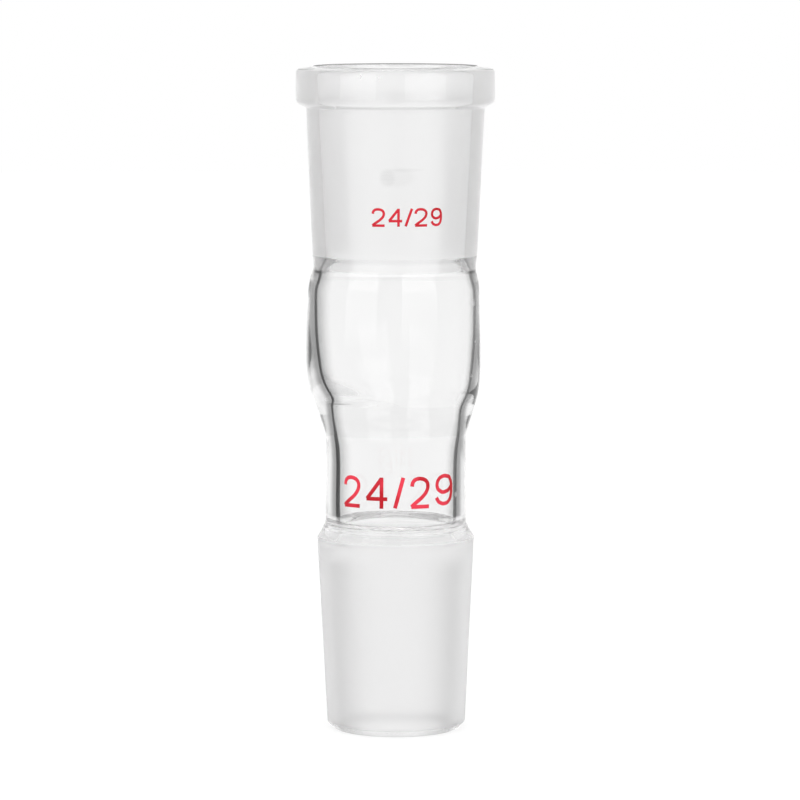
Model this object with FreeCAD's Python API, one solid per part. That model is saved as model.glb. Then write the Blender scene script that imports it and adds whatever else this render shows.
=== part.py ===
import FreeCAD, Part
import math
import os

# Glass joint adapter: a ground cone that fits a socket below, and a ground socket that takes a cone above.
# It is one piece of blown glass. Millimetres, +Z up, the origin at the centre of the tip's end face.

# Standard ground joint, the same size at both ends: large end, taper of the diameter (1 in this) and length
JOINT_DIAMETER = 24.0
JOINT_TAPER = 10.0
JOINT_LENGTH = 29.0

# Cone: the fire-polished tip below its ground length, the bevel round the tip, the wall at both ends, and
# the small arris that takes off the crisp edges of tip, mouth and collar
TIP_HEIGHT = 0.65
BEVEL_HEIGHT = 1.05
BEVEL_WIDTH = 1.15
TIP_WALL = 1.95
CONE_WALL = 2.5
ARRIS = 0.3

# Shoulder above the cone: the weld left a faint bead outside and a thick ring in the bore
SHOULDER_HEIGHT = 1.5
WELD_BEAD = 0.15
WELD_BEAD_HEIGHT = 0.8
WELD_RING = 0.9
WELD_RING_HEIGHT = 1.2

# Neck: the plain tube between the cone and the belly, its wall drawn a little thinner towards the top
NECK_BORE_DIAMETER = 17.6
NECK_FOOT_WALL = 2.1
NECK_TOP_WALL = 1.9
NECK_LENGTH = 14.75

# Seal between neck and belly: the bore starts to widen below it and stays narrow past the outer corner
SEAL_WIDENING = 0.8
SEAL_HEIGHT = 3.4
SEAL_RUN = 8.3

# Belly: flares out of the neck, is widest low down and narrows slowly to the socket. Both narrowings are
# of the radius, at the flare's top and at the belly's top
BELLY_DIAMETER = 27.0
BELLY_WALL = 1.5
FLARE_HEIGHT = 6.2
FLARE_NARROWING = 0.52
BELLY_RISE = 4.4
BELLY_LENGTH = 12.0
BELLY_NARROWING = 0.45

# Glass gathered at the seal: it thickens the wall above the flare and runs out above the widest place
GATHER_HEIGHT = 1.8
GATHER_THICKENING = 0.75
GATHER_RUN = 4.0

# Waist under the socket, where the two tubes were fused: it is pinched in below the socket's foot
WAIST_HEIGHT = 2.2
WAIST_PINCH = 0.13
SEAM_HEIGHT = 1.4

# Socket: its wall at the foot and under the collar, and the thick collar round its mouth
SOCKET_FOOT_HEIGHT = 0.7
SOCKET_FOOT_WALL = 2.0
SOCKET_TOP_WALL = 1.9
COLLAR_WALL = 3.2
COLLAR_HEIGHT = 6.45
COLLAR_TOP_SLOPE = 0.85
COLLAR_FOOT_SLOPE = 0.7

# Bend radii of the profile: the collar's rounded top, the waist and the worked glass of the belly
COLLAR_TOP_BEND = 1.2
WAIST_BEND = 2.0
WORKED_BEND = 4.0

# Heights of the sections, stacked from the tip upwards
CONE_TOP = TIP_HEIGHT + JOINT_LENGTH
SHOULDER_TOP = CONE_TOP + SHOULDER_HEIGHT
NECK_TOP = SHOULDER_TOP + NECK_LENGTH
FLARE_TOP = NECK_TOP + FLARE_HEIGHT
BELLY_WIDEST = FLARE_TOP + BELLY_RISE
BELLY_TOP = BELLY_WIDEST + BELLY_LENGTH
WAIST = BELLY_TOP + WAIST_HEIGHT
SOCKET_FOOT = WAIST + SEAM_HEIGHT
SOCKET_GROUND_END = SOCKET_FOOT + SOCKET_FOOT_HEIGHT
TOTAL_HEIGHT = SOCKET_GROUND_END + JOINT_LENGTH
COLLAR_FOOT = TOTAL_HEIGHT - COLLAR_HEIGHT

# Radii of the ground joint's two ends, of the collar round it, and of the glass between the joints
LARGE_END = JOINT_DIAMETER / 2
SMALL_END = LARGE_END - JOINT_LENGTH / JOINT_TAPER / 2
COLLAR_RADIUS = LARGE_END + COLLAR_WALL
SOCKET_FOOT_RADIUS = SMALL_END + SOCKET_FOOT_WALL
NECK_BORE = NECK_BORE_DIAMETER / 2
NECK_FOOT_RADIUS = NECK_BORE + NECK_FOOT_WALL
BELLY_RADIUS = BELLY_DIAMETER / 2
BELLY_BORE = BELLY_RADIUS - BELLY_WALL


def ground_radius(rise):
    """Radius of the ground joint at a rise above its small end: it grows by half of the taper."""
    return SMALL_END + rise / JOINT_TAPER / 2


def bend(before, corner, after):
    """Start, middle and end of the tangent arc at a corner, all three at the corner where it has no radius.

    The arc's tangent length is radius times the tangent of half the turn, never over 0.45 of either line.
    """
    at = FreeCAD.Vector(corner[0], 0, corner[1])
    if corner[2] == 0:
        return at, at, at
    back = FreeCAD.Vector(before[0], 0, before[1]) - at
    ahead = FreeCAD.Vector(after[0], 0, after[1]) - at
    turn = math.pi - back.getAngle(ahead)
    longest = 0.45 * min(back.Length, ahead.Length)
    tangent = min(corner[2] * math.tan(turn / 2), longest)
    radius = tangent / math.tan(turn / 2)
    start = at + back.normalize() * tangent
    end = at + ahead.normalize() * tangent
    inward = (start + end) * 0.5 - at
    reach = radius / math.cos(turn / 2) - radius
    return start, at + inward.normalize() * reach, end


def bent_outline(corners):
    """Closed wire in the XZ plane through corners of (radius, height, bend radius)."""
    bends = []
    for i, corner in enumerate(corners):
        bends.append(bend(corners[i - 1], corner, corners[(i + 1) % len(corners)]))
    edges = []
    for i, (start, middle, end) in enumerate(bends):
        if start != end:
            edges.append(Part.Arc(start, middle, end).toShape())
        edges.append(Part.LineSegment(end, bends[(i + 1) % len(bends)][0]).toShape())
    return Part.Wire(edges)


def outside():
    """Corners of the outer profile, from the tip's end face up to the rim."""
    bevel_radius = ground_radius(BEVEL_HEIGHT - TIP_HEIGHT)
    collar_foot_radius = ground_radius(COLLAR_FOOT - SOCKET_GROUND_END) + SOCKET_TOP_WALL
    return [
        (bevel_radius - BEVEL_WIDTH, 0, 0),
        (bevel_radius, BEVEL_HEIGHT, 0),
        (LARGE_END, CONE_TOP, 0),
        (NECK_FOOT_RADIUS + WELD_BEAD, SHOULDER_TOP, 0),
        (NECK_FOOT_RADIUS, SHOULDER_TOP + WELD_BEAD_HEIGHT, 0),
        (NECK_BORE + NECK_TOP_WALL, NECK_TOP, WORKED_BEND),
        (BELLY_RADIUS - FLARE_NARROWING, FLARE_TOP, WORKED_BEND),
        (BELLY_RADIUS, BELLY_WIDEST, 0),
        (BELLY_RADIUS - BELLY_NARROWING, BELLY_TOP, WORKED_BEND),
        (SOCKET_FOOT_RADIUS - WAIST_PINCH, WAIST, WAIST_BEND),
        (SOCKET_FOOT_RADIUS, SOCKET_FOOT, 0),
        (collar_foot_radius, COLLAR_FOOT, 0),
        (COLLAR_RADIUS - ARRIS, COLLAR_FOOT + COLLAR_FOOT_SLOPE, 0),
        (COLLAR_RADIUS, COLLAR_FOOT + COLLAR_FOOT_SLOPE + ARRIS, 0),
        (COLLAR_RADIUS, TOTAL_HEIGHT - COLLAR_TOP_SLOPE, COLLAR_TOP_BEND),
    ]


def inside():
    """Corners of the bore, from the rim down to the tip's end face."""
    return [
        (LARGE_END + ARRIS, TOTAL_HEIGHT, 0),
        (ground_radius(JOINT_LENGTH - ARRIS), TOTAL_HEIGHT - ARRIS, 0),
        (SMALL_END, SOCKET_GROUND_END, 0),
        (BELLY_BORE, BELLY_TOP, 0),
        (BELLY_BORE, BELLY_WIDEST + GATHER_RUN, 0),
        (BELLY_BORE - GATHER_THICKENING, FLARE_TOP + GATHER_HEIGHT, 0),
        (NECK_BORE + SEAL_WIDENING, NECK_TOP + SEAL_HEIGHT, WORKED_BEND),
        (NECK_BORE, NECK_TOP + SEAL_HEIGHT - SEAL_RUN, 0),
        (NECK_BORE, SHOULDER_TOP + 2 * WELD_RING_HEIGHT, 0),
        (NECK_BORE - WELD_RING, SHOULDER_TOP + WELD_RING_HEIGHT, 0),
        (LARGE_END - CONE_WALL, CONE_TOP - SHOULDER_HEIGHT, 0),
        (SMALL_END - TIP_WALL, ARRIS, 0),
        (SMALL_END - TIP_WALL + ARRIS, 0, 0),
    ]


def glass_body():
    """The whole adapter: the wall between the outer profile and the bore, turned about the Z axis."""
    wall = Part.Face(bent_outline(outside() + inside()))
    return wall.revolve(FreeCAD.Vector(0, 0, 0), FreeCAD.Vector(0, 0, 1), 360)


os.makedirs("parts", exist_ok=True)
body = Part.Solid(glass_body())
body.exportStep("parts/glass_body.step")
print("glass_body valid", body.isValid(), "volume mm3", round(body.Volume), "height", round(TOTAL_HEIGHT, 2))
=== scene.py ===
import math

import bpy
import numpy as np
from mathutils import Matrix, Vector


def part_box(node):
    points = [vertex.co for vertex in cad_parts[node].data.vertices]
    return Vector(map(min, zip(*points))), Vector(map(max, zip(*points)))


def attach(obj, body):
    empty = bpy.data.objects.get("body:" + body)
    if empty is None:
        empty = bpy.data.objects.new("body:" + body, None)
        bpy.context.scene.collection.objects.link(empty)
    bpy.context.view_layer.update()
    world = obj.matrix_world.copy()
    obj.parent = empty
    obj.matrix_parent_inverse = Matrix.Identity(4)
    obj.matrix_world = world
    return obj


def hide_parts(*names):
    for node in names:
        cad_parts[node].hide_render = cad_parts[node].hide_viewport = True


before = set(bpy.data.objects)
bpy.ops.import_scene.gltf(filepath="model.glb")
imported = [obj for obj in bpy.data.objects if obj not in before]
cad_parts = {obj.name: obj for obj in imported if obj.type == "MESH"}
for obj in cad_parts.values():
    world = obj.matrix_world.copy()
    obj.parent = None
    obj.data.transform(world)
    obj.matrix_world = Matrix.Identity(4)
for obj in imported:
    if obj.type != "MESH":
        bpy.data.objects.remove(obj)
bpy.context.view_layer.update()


# The glass: one piece of borosilicate tube, flared, pinched and fused by hand in the flame between a socket
# and a cone. It is clear and fire polished, but for the socket's inside and the cone's outside, which are
# ground to the standard taper with fine grit.

MM = 0.001
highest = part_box("glass_body")[1]
HEIGHT = highest.z / MM
# The flame left collar and rim a little inside the solid's box
COLLAR = highest.x / MM - 0.06
RIM = HEIGHT - 0.15

# Ground joint, the same at both ends: its length, the radius of its small end and what that grows per mm
GROUND_LENGTH = 29.0
SMALL_END = 10.55
TAPER = 0.05
MOUTH = SMALL_END + TAPER * GROUND_LENGTH
SOCKET_FOOT = HEIGHT - GROUND_LENGTH

# Corners of the wall's outline in mm: radius, height, how softly the flame bent it there, and how far the
# hand-worked glass stands off the axis towards +X. The outside runs up, then the bore runs down.
OUTSIDE = [
    (9.42, 0.0, 0.22, 0.08),
    (10.57, 1.05, 0.25, 0.08),
    (12.0, 29.65, 0.12, 0.0),
    (11.16, 31.0, 0.12, 0.0),
    (11.12, 31.35, 0.12, 0.02),
    (10.86, 31.65, 0.2, 0.03),
    (10.88, 32.6, 0.5, 0.05),
    (10.81, 38.0, 3.0, 0.13),
    (10.69, 45.35, 1.0, 0.08),
    (12.98, 52.1, 1.1, -0.15),
    (13.52, 56.5, 2.2, -0.42),
    (13.38, 60.4, 3.0, -0.41),
    (13.26, 63.2, 3.0, -0.36),
    (13.06, 68.35, 0.9, -0.27),
    (12.4, 70.75, 0.6, -0.22),
    (12.56, 72.2, 0.8, -0.1),
    (13.58, 95.3, 0.15, -0.03),
    (COLLAR, 96.1, 0.35, -0.04),
    (COLLAR, 101.1, 0.4, -0.04),
    (14.3, 101.28, 0.3, -0.03),
    (13.1, 101.38, 0.2, -0.03),
    (12.45, RIM - 0.03, 0.12, -0.03),
]
BORE = [
    (MOUTH + 0.15, RIM, 0.12, -0.03),
    (MOUTH - 0.02, RIM - 0.3, 0.12, -0.03),
    (SMALL_END, SOCKET_FOOT, 0.15, -0.05),
    (10.95, 72.1, 0.3, -0.08),
    (11.6, 70.6, 0.6, -0.15),
    (12.21, 68.8, 0.7, -0.2),
    (12.18, 60.8, 2.0, -0.19),
    (11.73, 57.0, 1.5, -0.1),
    (11.06, 52.8, 0.8, 0.1),
    (9.9, 50.4, 0.5, 0.0),
    (9.7, 48.8, 0.5, 0.09),
    (9.44, 46.0, 1.0, 0.24),
    (9.08, 42.4, 1.5, 0.19),
    (9.13, 35.0, 0.5, 0.1),
    (9.08, 32.3, 0.2, 0.1),
    (7.9, 31.3, 0.3, 0.05),
    (8.6, 29.8, 0.4, 0.05),
    (9.5, 28.15, 0.6, 0.0),
    (8.6, 0.35, 0.15, 0.08),
    (8.85, 0.0, 0.12, 0.08),
]
# What is treated as bore begins this far outside its first corner, on top of the rim, in mm
BORE_BEGINS = 0.3
ROUND_STEPS = 224
PROFILE_STEPS = 400
FINE_STEP = 0.02
WIDEST_STEP = 1.3

# Folds of surplus glass left inside the seal on one side, a short one over a wide shallow one: height,
# bearing, depth, gentle spread above, sharp spread below and spread round the bore, in mm and radians
FOLDS = [
    (51.9, 3.95, 0.95, 1.5, 0.5, 0.36),
    (51.2, 3.14, 0.3, 1.2, 0.85, 0.8),
]


def worked_outline(corners, count):
    """Smooth closed loop through the flame: columns radius, height, bend, lean and place along the outline.

    Each point is the mean of the sharp outline round it, weighted by a bell curve whose width is the bend
    there. Points lie closer together near the corners, at about a third of the bend and of the way off, and
    never further apart than WIDEST_STEP.
    """
    sharp = np.array(list(corners) + [corners[0]])
    runs = np.hypot(np.diff(sharp[:, 0]), np.diff(sharp[:, 1]))
    places = np.concatenate([[0.0], np.cumsum(runs)])
    length = places[-1]
    fine = np.arange(0.0, length, FINE_STEP)
    columns = np.stack([np.interp(fine, places, sharp[:, c]) for c in range(4)], axis=1)
    gaps = np.abs(fine[:, None] - places[None, :])
    spacing = np.clip(0.3 * sharp[:, 2] + 0.3 * gaps, None, WIDEST_STEP).min(axis=1)
    density = np.cumsum(1.0 / spacing)
    chosen = np.interp(np.linspace(0.0, density[-1], count, endpoint=False), density, fine)
    bend = np.interp(chosen, fine, columns[:, 2])
    apart = np.abs(chosen[:, None] - fine[None, :])
    apart = np.minimum(apart, length - apart)
    weight = np.exp(-0.5 * (apart / bend[:, None]) ** 2)
    weight /= weight.sum(axis=1, keepdims=True)
    return np.column_stack([weight @ columns, chosen]), places


def closed_grid(name, points, wrap_rows=False, fill_first=False, fill_last=False):
    """Mesh of quads over a grid of points (rows, columns, 3) that closes round its columns.

    The last row joins the first where wrap_rows is set. One face can fill the first ring, and the last.
    """
    rows, columns = points.shape[:2]
    index = np.arange(rows * columns).reshape(rows, columns)
    beside = np.roll(index, -1, axis=1)
    above = np.roll(index, -1, axis=0)
    corner = np.roll(above, -1, axis=1)
    quads = np.stack([index, beside, corner, above], axis=-1)
    if not wrap_rows:
        quads = quads[:-1]
    loops = quads.reshape(-1)
    starts = np.arange(0, loops.size, 4)
    if fill_first:
        starts = np.append(starts, loops.size)
        loops = np.concatenate([loops, index[0, ::-1]])
    if fill_last:
        starts = np.append(starts, loops.size)
        loops = np.concatenate([loops, index[-1]])
    mesh = bpy.data.meshes.new(name)
    mesh.vertices.add(rows * columns)
    mesh.vertices.foreach_set("co", points.reshape(-1).astype(np.float32))
    mesh.loops.add(loops.size)
    mesh.loops.foreach_set("vertex_index", loops.astype(np.int32))
    mesh.polygons.add(starts.size)
    mesh.polygons.foreach_set("loop_start", starts.astype(np.int32))
    mesh.update(calc_edges=True)
    mesh.validate()
    mesh.shade_smooth()
    return mesh


outline, corner_places = worked_outline(OUTSIDE + BORE, PROFILE_STEPS)
radius, height, _, lean, place = outline.T
in_bore = (place > corner_places[len(OUTSIDE)] - BORE_BEGINS).astype(float)
turn = np.linspace(0.0, 2 * math.pi, ROUND_STEPS, endpoint=False)
wall_radius = np.repeat(radius[:, None], ROUND_STEPS, axis=1)
for level, bearing, depth, above, below, around in FOLDS:
    spread = np.where(height > level, above, below)
    fold = depth * in_bore * np.exp(-0.5 * ((height - level) / spread) ** 2)
    wall_radius -= np.outer(fold, np.exp(-0.5 * ((turn - bearing) / around) ** 2))
glass_points = np.stack([
    wall_radius * np.cos(turn) + lean[:, None],
    wall_radius * np.sin(turn),
    np.repeat(height[:, None], ROUND_STEPS, axis=1),
], axis=-1) * MM
glass_mesh = closed_grid("adapter_glass", glass_points, wrap_rows=True)
bore_values = glass_mesh.attributes.new("bore", "FLOAT", "POINT")
bore_values.data.foreach_set("value", np.repeat(in_bore, ROUND_STEPS).astype(np.float32))
glass = bpy.data.objects.new("adapter_glass", glass_mesh)
bpy.context.scene.collection.objects.link(glass)


class Shade:
    """A socket in a shader. Arithmetic on it adds Math nodes, and node() adds any other node."""

    def __init__(self, tree, socket=None):
        self.tree = tree
        self.socket = socket

    def node(self, kind, settings, inputs, output=0):
        """Adds a node, sets it, fills its sockets with values or links, and returns one output."""
        made = self.tree.nodes.new(kind)
        for name, value in settings.items():
            setattr(made, name, value)
        for name, value in inputs.items():
            if isinstance(value, Shade):
                self.tree.links.new(value.socket, made.inputs[name])
            else:
                made.inputs[name].default_value = value
        return Shade(self.tree, made.outputs[output])

    def output(self, name):
        """Another output of the node that this socket is on."""
        return Shade(self.tree, self.socket.node.outputs[name])

    def maths(self, operation, first, second):
        """A Math node's result for two numbers or sockets."""
        return self.node("ShaderNodeMath", {"operation": operation}, {0: first, 1: second})

    def at_most(self, limit):
        """This, but never over a limit."""
        return self.maths("MINIMUM", self, limit)

    def step(self, low, high):
        """Rises smoothly from 0 where this is low to 1 where it is high."""
        return self.node("ShaderNodeMapRange", {"interpolation_type": "SMOOTHSTEP"},
                         {"Value": self, "From Min": low, "From Max": high})

    def band(self, rise, fall):
        """Rises to 1 between the two values of rise, and falls to 0 between the two values of fall."""
        return self.step(*rise) * (1 - self.step(*fall))

    def vector(self, operation, other=(0.0, 0.0, 0.0), output="Vector"):
        """A Vector Math node's result for this and another vector."""
        return self.node("ShaderNodeVectorMath", {"operation": operation}, {0: self, 1: other}, output)

    def part(self, axis):
        """One coordinate of a vector."""
        return self.node("ShaderNodeSeparateXYZ", {}, {"Vector": self}, axis)

    def colour(self, share, first, second):
        """The first colour where a share is 0, the second where it is 1."""
        inputs = {"Factor": share, "A": first, "B": second}
        return self.node("ShaderNodeMix", {"data_type": "RGBA"}, inputs, "Result")

    def mixed(self, share, first, second):
        """The first shader where a share is 0, the second where it is 1."""
        return self.node("ShaderNodeMixShader", {}, {0: share, 1: first, 2: second})

    def matt(self, colour):
        """A matt shader of one colour."""
        return self.node("ShaderNodeBsdfDiffuse", {}, {"Color": colour})

    def noise(self, scale, detail):
        """A cloudy pattern over this place."""
        return self.node("ShaderNodeTexNoise", {}, {"Vector": self, "Scale": scale, "Detail": detail})

    def __add__(self, other):
        return self.maths("ADD", self, other)

    def __sub__(self, other):
        return self.maths("SUBTRACT", self, other)

    def __rsub__(self, other):
        return self.maths("SUBTRACT", other, self)

    def __mul__(self, other):
        return self.maths("MULTIPLY", self, other)

    __radd__ = __add__
    __rmul__ = __mul__


def new_material(name):
    """An empty node material, and the Shade that its nodes are made with."""
    material = bpy.data.materials.new(name)
    material.use_nodes = True
    material.node_tree.nodes.clear()
    return material, Shade(material.node_tree)


def finish(shade, kind, surface):
    """Links a shader to the surface of an output node of a kind."""
    made = shade.tree.nodes.new(kind)
    shade.tree.links.new(surface.socket, made.inputs["Surface"])


GLASS_TINT = (0.925, 0.925, 0.925, 1.0)
GLASS_IOR = 1.473
CLEAR_ROUGHNESS = 0.0
NO_TINT = (1.0, 1.0, 1.0, 1.0)
BLACK = (0.0, 0.0, 0.0, 1.0)
FROST_WHITE = (1.0, 0.995, 0.997, 1.0)
FROST_ROUGHNESS = 0.32
GRAIN_ROUGHNESS = 0.06
GRAIN_SCALE = 9000.0
RIPPLE_SCALE = (90.0, 90.0, 3500.0)

# Shares of white scatter: on the ground cone, on the ground socket and added at its sides, as a painted
# highlight on the weld's bead, in the haze of fine ripples that the weld left in the bore, and on scuffs
CONE_SCATTER = 0.33
SOCKET_SCATTER = 0.1
# The share added at the socket's sides follows Facing: painted shade that greys the sides and hides the
# bore's edge
SOCKET_SIDE_SCATTER = 0.4
BEAD_HIGHLIGHT_SHARE = 0.4
HAZE_SCATTER = 0.16
SCUFF_SCATTER = 0.3

# Where each zone of the glass lies: two heights in mm between which it begins, and two where it ends
CONE_FROST = ((0.95, 1.15), (29.6, 30.0))
SOCKET_FROST = ((SOCKET_FOOT - 0.1, SOCKET_FOOT + 0.1), (RIM - 0.3, RIM - 0.1))
WELD_BEAD = ((31.05, 31.2), (31.35, 31.5))
WELD_HAZE = ((29.6, 29.9), (32.4, 32.7))
WAIST = ((70.0, 71.0), (71.8, 72.6))
PINCH_BEGINS = (70.2, 71.2)
CONE_ENDS = (25.5, 28.0)
NECK_ENDS = (44.0, 49.0)

# Painted shade: where a ray grazes the bore from inside the glass, the glass is mixed towards black. The
# share of black follows Facing, 1 minus the cosine of the angle between the ray and the level radial
# direction. The bore's side edge is seen at 0.266, and past that the bore mirrors everything. The share has
# a soft zone round the edge, and a sharp line at the edge that is fainter at +X. Both begin above the weld
# and are weaker where the wall is pinched
EDGE_SOFT = 0.52
SOFT_RISE = (0.16, 0.27)
SOFT_FALL = (0.292, 0.352)
SOFT_BEGINS = (32.9, 33.3)
SOFT_PINCHED = 0.75
EDGE_LINE = 0.44
EDGE_LINE_RIGHT = 0.34
EDGE_LINE_NECK = 0.04
LINE_RISE = (0.248, 0.258)
LINE_FALL = (0.268, 0.279)
LINE_BEGINS = (31.9, 32.1)
LINE_PINCHED = 0.2
# The painted shade of the soft zone is darker past the edge, and more so at +X
PAST_EDGE = (0.262, 0.275)
PAST_EDGE_DARK = 0.1
PAST_EDGE_DARK_RIGHT = 0.15
# In the cone, under its frost, the painted shade is wide and even. The top of the bore's edge is painted
# dark
EDGE_CONE = 0.32
CONE_EDGE = ((0.02, 0.28), (0.27, 0.36))
EDGE_RIM = 0.6
RIM_BEGINS = (RIM - 0.25, RIM - 0.15)
# Facing over which the socket's sides get their painted shade
SOCKET_SIDE = (0.22, 0.27)

# Painted light: the outermost edge of the clear wall is made see-through by this share, so that it shows
# the white behind it, from the cone up to the belly's top and again at the waist
FADE_SHARE = 0.85
FADE_RISE = (0.65, 0.92)
FADE_HEIGHTS = ((29.65, 31.65), (66.0, 68.0))
FADE_WAIST = ((69.4, 70.0), (72.3, 72.9))

# Wear, each as a patch: middle and size along X, Y and Z in mm. A grey tool mark inside the ground socket,
# whose patches also have a share, and small scuffs on the clear wall and the collar
TOOL_MARK = [
    ((-1.2, -11.4, 85.2), (1.4, 3.0, 1.8), 0.5),
    ((0.4, -11.4, 85.3), (3.2, 3.0, 1.9), 0.45),
    ((1.8, -11.2, 86.4), (2.8, 3.0, 0.35), 0.4),
]
TOOL_MARK_GREY = (0.76, 0.76, 0.76, 1.0)
SCUFFS = [
    ((11.9, -5.2, 65.9), (0.35, 1.0, 0.9)),
    ((12.2, -5.0, 60.0), (0.3, 0.8, 0.25)),
    ((11.5, -6.0, 54.9), (0.3, 0.8, 0.3)),
    ((9.3, -5.9, 49.2), (0.5, 0.8, 0.2)),
    ((9.1, -5.9, 36.8), (0.3, 0.7, 0.6)),
    ((-5.2, -14.2, 100.4), (0.25, 0.8, 0.35)),
    ((-2.5, -14.9, 100.3), (0.25, 0.8, 0.35)),
]

glass_material, at = new_material("borosilicate_glass")
place_mm = at.node("ShaderNodeTexCoord", {}, {}, "Object").vector("DIVIDE", (MM, MM, MM))
up = place_mm.part("Z")
bore = at.node("ShaderNodeAttribute", {"attribute_name": "bore"}, {}, "Fac")
outside = 1 - bore
radial = place_mm.vector("MULTIPLY", (1.0, 1.0, 0.0)).vector("NORMALIZE")
facing = at.node("ShaderNodeLayerWeight", {}, {"Blend": 0.5, "Normal": radial}, "Facing")
from_glass = at.node("ShaderNodeNewGeometry", {}, {}, "Backfacing")
first_pass = 1 - at.node("ShaderNodeLightPath", {}, {}, "Glossy Depth").at_most(1.0)
right = place_mm.part("X").step(-10.0, 10.0)

# The zones
cone_frost = outside * up.band(*CONE_FROST)
socket_frost = bore * up.band(*SOCKET_FROST)
frost = cone_frost + socket_frost
# Painted highlight: the weld's bead gets white scatter and no tint, which stand in for its glint
bead = outside * up.band(*WELD_BEAD)
haze = bore * up.band(*WELD_HAZE)
waist = up.band(*WAIST)
pinch = up.step(*PINCH_BEGINS)
neck = 1 - up.step(*NECK_ENDS)
cone = 1 - up.step(*CONE_ENDS)


def patch(middle, size):
    """1 within half of a patch's size of its middle, and 0 beyond the whole size."""
    away = place_mm.vector("SUBTRACT", middle).vector("DIVIDE", size)
    return 1 - away.vector("LENGTH", output="Value").step(0.5, 1.0)


# Clear and ground glass, with the wear
stretched = place_mm.vector("MULTIPLY", tuple(value * MM for value in RIPPLE_SCALE))
ripples = stretched.noise(1.0, 2.0).step(0.35, 0.65)
grain = place_mm.noise(GRAIN_SCALE * MM, 2.0)
tool_mark = sum(share * patch(middle, size) for middle, size, share in TOOL_MARK) * bore
tool_mark = (tool_mark * (0.75 + 0.25 * ripples)).at_most(1.0)
scuffs = sum(patch(middle, size) for middle, size in SCUFFS) * outside
# Painted shade: more scatter where the socket is seen edge on
socket_scatter = SOCKET_SCATTER + SOCKET_SIDE_SCATTER * facing.step(*SOCKET_SIDE)
scatter_share = CONE_SCATTER * cone_frost + socket_scatter * socket_frost + BEAD_HIGHLIGHT_SHARE * bead
scatter_share = scatter_share + HAZE_SCATTER * haze * ripples + SCUFF_SCATTER * scuffs
roughness = CLEAR_ROUGHNESS + frost * (FROST_ROUGHNESS - GRAIN_ROUGHNESS + 2 * GRAIN_ROUGHNESS * grain)
# Painted light: the waist is left without the glass's tint, so it shows lighter
tint = at.colour((frost + waist + bead).at_most(1.0), GLASS_TINT, NO_TINT)
clear = at.node("ShaderNodeBsdfPrincipled", {}, {
    "Base Color": at.colour(tool_mark, tint, TOOL_MARK_GREY),
    "Roughness": roughness,
    "IOR": GLASS_IOR,
    "Transmission Weight": 1.0,
})
through = at.node("ShaderNodeBsdfTranslucent", {}, {"Color": FROST_WHITE})
scatter = at.mixed(0.5, at.matt(FROST_WHITE), through)

# The painted shade at the bore's edge. The soft zone begins later at +X and at the waist, and earlier in
# the neck, where the line is wider too
soft_rise = (SOFT_RISE[0] + 0.05 * right - 0.04 * neck + 0.03 * waist, SOFT_RISE[1])
soft = EDGE_SOFT * facing.band(soft_rise, SOFT_FALL) * (1 - SOFT_PINCHED * pinch) * up.step(*SOFT_BEGINS)
soft = soft * (1 + (PAST_EDGE_DARK + PAST_EDGE_DARK_RIGHT * right) * facing.step(*PAST_EDGE))
line_rise = (
    LINE_RISE[0] + (0.01 * right - 0.02) * neck,
    LINE_RISE[1] + (0.01 * right - 0.022) * neck,
)
line = facing.band(line_rise, LINE_FALL) * (1 - LINE_PINCHED * pinch) * up.step(*LINE_BEGINS)
line = line * (EDGE_LINE - (EDGE_LINE - EDGE_LINE_RIGHT) * right + EDGE_LINE_NECK * neck)
painted_edge_shade = (soft + line) * (1 - socket_frost) + EDGE_CONE * facing.band(*CONE_EDGE) * cone
painted_edge_shade = painted_edge_shade * bore * from_glass * first_pass
painted_edge_shade = painted_edge_shade + EDGE_RIM * bore * (1 - from_glass) * up.step(*RIM_BEGINS)

# The painted light at the edge begins further out at +X, but in the neck it begins further in on that side
fade_rise = (
    FADE_RISE[0] + 0.09 * right + (0.03 - 0.17 * right) * neck,
    FADE_RISE[1] + 0.04 * right + (0.02 - 0.09 * right) * neck,
)
fade_height = up.step(*FADE_HEIGHTS[0]) * (1 - up.step(*FADE_HEIGHTS[1]) + up.band(*FADE_WAIST))
painted_edge_light = FADE_SHARE * facing.step(*fade_rise) * outside * (1 - cone_frost) * fade_height

# Painted shade: the wall is mixed towards matt black by that share
wall = at.mixed(painted_edge_shade, at.mixed(scatter_share, clear, scatter), at.matt(BLACK))
nothing = at.node("ShaderNodeBsdfTransparent", {}, {"Color": NO_TINT})
# Painted light: the glass turns see-through by that share
finish(at, "ShaderNodeOutputMaterial", at.mixed(painted_edge_light, wall, nothing))
glass.data.materials.append(glass_material)
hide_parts("glass_body")
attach(glass, "root")


# The size marks: red enamel printed on the clear glass and fired in the furnace, once on the socket under
# its collar and once, larger, on the neck.

ENAMEL_RED = (0.44, 0.0, 0.008, 1.0)
ENAMEL_PALE = (0.72, 0.035, 0.065, 1.0)
ENAMEL_ROUGHNESS = 0.35
ENAMEL_GLOSS = 0.25
# The enamel is thinner and paler in clouds, and the mark on the socket has this share less of them
CLOUD_SCALE = 190.0
SOCKET_THICKER = 0.6
ENAMEL_SUNK = 0.015
ENAMEL_RAISED = 0.03
SECTION_STEPS = 12
CURVE_STEPS = 48
STRAIGHT_STEPS = 12

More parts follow.
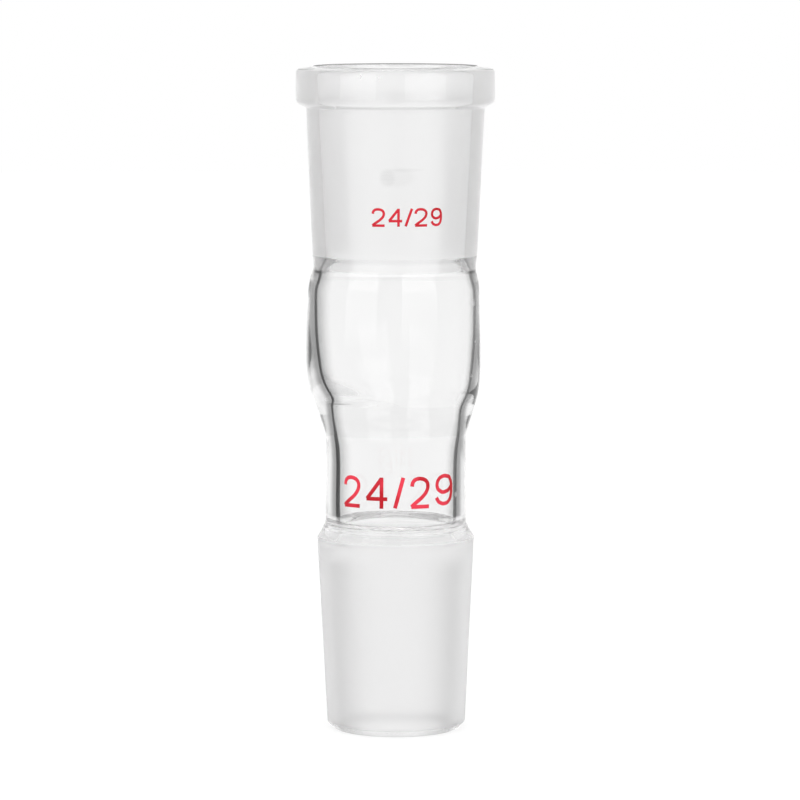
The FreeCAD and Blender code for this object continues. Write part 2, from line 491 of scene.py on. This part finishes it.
# Strokes of each figure in a box 1 wide and 1 high: points of an open curve that is smoothed, or straight
# where a curve has only two points
FIGURES = {
    "2": [
        [(0.02, 0.72), (0.05, 0.86), (0.2, 0.97), (0.45, 1.0), (0.75, 0.96), (0.93, 0.85), (0.96, 0.68),
         (0.84, 0.5), (0.6, 0.33), (0.3, 0.18), (0.08, 0.06), (0.0, 0.0)],
        [(-0.02, 0.0), (1.0, 0.0)],
    ],
    "4": [
        [(0.72, 1.0), (0.0, 0.28)],
        [(-0.03, 0.28), (1.0, 0.28)],
        [(0.72, 1.04), (0.72, -0.06)],
    ],
    "/": [
        [(0.0, -0.04), (1.0, 1.04)],
    ],
    "9": [
        [(0.92, 0.8), (0.82, 0.94), (0.5, 1.0), (0.18, 0.93), (0.03, 0.72), (0.1, 0.52), (0.4, 0.4),
         (0.75, 0.46), (0.93, 0.6)],
        [(0.92, 0.82), (0.97, 0.65), (0.97, 0.4), (0.9, 0.16), (0.7, 0.02), (0.4, 0.0), (0.16, 0.08),
         (0.03, 0.24)],
    ],
}

# Left end of each figure as an arc on the glass from the front, its width and its rise, all in mm
NECK_MARK = [
    ("2", -8.62, 2.85, 0.0),
    ("4", -4.55, 3.2, 0.0),
    ("/", -0.18, 1.25, 0.0),
    ("2", 2.35, 2.8, 0.0),
    ("9", 6.35, 3.25, 0.2),
]
SOCKET_MARK = [
    ("2", -3.4, 1.85, 0.0),
    ("4", -0.88, 1.95, 0.0),
    ("/", 1.6, 0.95, 0.0),
    ("2", 3.08, 1.85, 0.0),
    ("9", 5.62, 1.7, 0.0),
]
# Each mark's figures, the height of its foot, and the height and stroke of its figures, in mm
MARKS = {"neck_mark": (NECK_MARK, 35.45, 4.3, 0.6), "socket_mark": (SOCKET_MARK, 78.12, 2.46, 0.39)}


def smooth_path(points, steps):
    """Even points along the sharp path through some points, blurred by a bell curve but for its ends."""
    points = np.array(points, dtype=float)
    runs = np.hypot(*np.diff(points, axis=0).T)
    places = np.concatenate([[0.0], np.cumsum(runs)])
    even = np.linspace(0.0, places[-1], steps)
    sharp = np.stack([np.interp(even, places, points[:, c]) for c in range(2)], axis=1)
    if len(points) == 2:
        return sharp
    width = 0.045 * places[-1] * np.sin(math.pi * even / places[-1]) + 1e-6
    weight = np.exp(-0.5 * ((even[:, None] - even[None, :]) / width[:, None]) ** 2)
    return (weight / weight.sum(axis=1, keepdims=True)) @ sharp


def enamel_stroke(path, stroke):
    """Points of one stroke on the glass: a flat oval, as wide as the stroke, carried along the path.

    The path is (arc from the front, height) in mm. Across it the oval is half the stroke times the root of
    the section angle's cosine. Off the glass it follows the sine, from ENAMEL_SUNK in it to ENAMEL_RAISED
    above it.
    """
    along = np.gradient(path, axis=0)
    along /= np.hypot(along[:, 0], along[:, 1])[:, None]
    across = np.stack([-along[:, 1], along[:, 0]], axis=1)
    angle = np.linspace(0.0, 2 * math.pi, SECTION_STEPS, endpoint=False)
    flat = np.sign(np.cos(angle)) * np.abs(np.cos(angle)) ** 0.5
    spread = path[:, None, :] + 0.5 * stroke * flat[None, :, None] * across[:, None, :]
    lift = ENAMEL_SUNK * np.minimum(np.sin(angle), 0) + ENAMEL_RAISED * np.maximum(np.sin(angle), 0)
    outer = np.arange(np.argmax(height))
    glass_radius = np.interp(spread[..., 1], height[outer], radius[outer]) + lift[None, :]
    glass_lean = np.interp(spread[..., 1], height[outer], lean[outer])
    round_angle = spread[..., 0] / glass_radius
    return np.stack([
        glass_radius * np.sin(round_angle) + glass_lean,
        -glass_radius * np.cos(round_angle),
        spread[..., 1],
    ], axis=-1) * MM


enamel_material, at = new_material("red_enamel")
coordinates = at.node("ShaderNodeTexCoord", {}, {}, "Object")
cloud = coordinates.noise(CLOUD_SCALE, 3.0)
on_socket = coordinates.part("Z").step(60 * MM, 70 * MM)
thin = cloud.step(0.4, 0.62) * (1 - SOCKET_THICKER * on_socket)
finish(at, "ShaderNodeOutputMaterial", at.node("ShaderNodeBsdfPrincipled", {}, {
    "Base Color": at.colour(thin, ENAMEL_RED, ENAMEL_PALE),
    "Roughness": ENAMEL_ROUGHNESS,
    "Specular IOR Level": ENAMEL_GLOSS,
}))

for mark, (figures, foot, tall, stroke) in MARKS.items():
    for place_in_mark, (figure, left, wide, rise) in enumerate(figures):
        for count, points in enumerate(FIGURES[figure]):
            steps = CURVE_STEPS if len(points) > 2 else STRAIGHT_STEPS
            path = smooth_path(points, steps) * (wide, tall) + (left, foot + rise)
            piece_name = f"{mark}_{place_in_mark}_{count}"
            shape = closed_grid(piece_name, enamel_stroke(path, stroke), fill_first=True, fill_last=True)
            shape.materials.append(enamel_material)
            piece = bpy.data.objects.new(piece_name, shape)
            bpy.context.scene.collection.objects.link(piece)
            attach(piece, "root")


# The table: a plain pale sheet under the adapter. It shows white to the eye, to reflections and through the
# glass, and keeps the adapter's shadow.

FLOOR_RADIUS = 1.6
FLOOR_COLOUR = (0.9, 0.9, 0.9, 1.0)
FLOOR_SHADOW_SHARE = 0.3
FLOOR_WHITE = 1.1
CORNER_DARK = 0.15
CORNER_DARK_LEFT = 0.05
CEILING_FROM = 0.42
CEILING_RUN = 0.3
CEILING_DARK = 0.45


def studio_white(place):
    """Where the studio's white is seen by the eye, in reflections or through glass, and how white it is.

    It is 1 straight ahead and square to both sides. The ceiling is darker, from a slope of CEILING_FROM up.
    Light that bounced inside the glass also falls off towards the four corners of the room, by the squared
    sine of twice the compass bearing.
    """
    ceiling = place.vector("NORMALIZE").part("Z").step(CEILING_FROM, CEILING_FROM + CEILING_RUN)
    across = place.vector("MULTIPLY", (1.0, 1.0, 0.0)).vector("NORMALIZE").part("X")
    corner = 2 * across * across.output("Y")
    rays = place.node("ShaderNodeLightPath", {}, {}, "Is Camera Ray")
    seen = (rays + rays.output("Is Glossy Ray") + rays.output("Is Transmission Ray")).at_most(1.0)
    bounced = (rays.output("Glossy Depth") * rays.output("Transmission Depth")).at_most(1.0)
    dark = corner * corner * (CORNER_DARK - CORNER_DARK_LEFT * corner)
    return seen, (1 - dark * bounced) * (1 - CEILING_DARK * ceiling)


floor_rings = np.array([1.0, 0.6, 0.2, 0.05]) * FLOOR_RADIUS
floor_turn = np.linspace(0.0, 2 * math.pi, 96, endpoint=False)
floor_points = np.stack([
    np.outer(floor_rings, np.cos(floor_turn)),
    np.outer(floor_rings, np.sin(floor_turn)),
    np.zeros((len(floor_rings), len(floor_turn))),
], axis=-1)
floor = bpy.data.objects.new("floor", closed_grid("floor", floor_points, fill_last=True))
bpy.context.scene.collection.objects.link(floor)
floor_material, at = new_material("pale_sheet")
seen, white = studio_white(at.node("ShaderNodeTexCoord", {}, {}, "Object"))
glow = at.node("ShaderNodeEmission", {}, {"Strength": FLOOR_WHITE})
sheet = at.mixed(seen * (1 - FLOOR_SHADOW_SHARE), at.matt(FLOOR_COLOUR), glow)
finish(at, "ShaderNodeOutputMaterial", at.mixed(white, at.matt(BLACK), sheet))
floor.data.materials.append(floor_material)


# The studio: a white room that the glass shows, and two tall soft boxes in front, one on each side of the
# camera, whose long reflections stand on the clear outer surfaces.

ROOM_LIGHT = 0.95
SOFT_BOX_DISTANCE = 0.75
SOFT_BOX_HEIGHT = 1.0
SOFT_BOX_MIDDLE = 0.42
SOFT_BOX_WHITE = 1.15
# Height over the table up to which a box's light is faded, so that its reflection has no hard lower end
SOFT_BOX_FADE = 0.08
# Compass bearing from the camera's side, and half the angle that each box covers
SOFT_BOXES = {"soft_box_left": (-44.0, 22.0), "soft_box_right": (35.5, 24.5)}

world = bpy.data.worlds.new("white_room")
world.use_nodes = True
world.node_tree.nodes.clear()
bpy.context.scene.world = world
at = Shade(world.node_tree)
seen, white = studio_white(at.node("ShaderNodeTexCoord", {}, {}, "Generated"))
strength = ROOM_LIGHT * (1 - seen) + white * seen
room = at.node("ShaderNodeBackground", {}, {"Color": strength, "Strength": 1.0})
finish(at, "ShaderNodeOutputWorld", room)

for name, (bearing, half_angle) in SOFT_BOXES.items():
    bearing = math.radians(bearing)
    width = 2 * SOFT_BOX_DISTANCE * math.tan(math.radians(half_angle))
    lamp = bpy.data.lights.new(name, "AREA")
    lamp.shape = "RECTANGLE"
    lamp.size = width
    lamp.size_y = SOFT_BOX_HEIGHT
    lamp.energy = SOFT_BOX_WHITE * math.pi * width * SOFT_BOX_HEIGHT
    lamp.use_nodes = True
    lamp.node_tree.nodes.clear()
    at = Shade(lamp.node_tree)
    risen = at.node("ShaderNodeNewGeometry", {}, {}, "Position").part("Z").step(0.0, SOFT_BOX_FADE)
    finish(at, "ShaderNodeOutputLight", at.node("ShaderNodeEmission", {}, {"Strength": risen}))
    box = bpy.data.objects.new(name, lamp)
    box.location = (
        SOFT_BOX_DISTANCE * math.sin(bearing),
        -SOFT_BOX_DISTANCE * math.cos(bearing),
        SOFT_BOX_MIDDLE,
    )
    box.rotation_euler = (math.pi / 2, 0.0, bearing)
    box.visible_camera = False
    bpy.context.scene.collection.objects.link(box)


# The camera: far off with a long lens, a little above the mouth, level with the photograph's view.

CAMERA_DISTANCE = 0.7
CAMERA_HEIGHT = 0.123
CAMERA_ASIDE = 0.00067
AIM_HEIGHT = 0.0506
LENS = 207.1

lens = bpy.data.cameras.new("camera")
lens.lens = LENS
lens.sensor_width = 36.0
camera = bpy.data.objects.new("camera", lens)
camera.location = (CAMERA_ASIDE, -CAMERA_DISTANCE, CAMERA_HEIGHT)
camera.rotation_euler = (math.atan2(CAMERA_DISTANCE, CAMERA_HEIGHT - AIM_HEIGHT), 0.0, 0.0)
bpy.context.scene.collection.objects.link(camera)
bpy.context.scene.camera = camera
bpy.context.scene.view_settings.view_transform = "Standard"
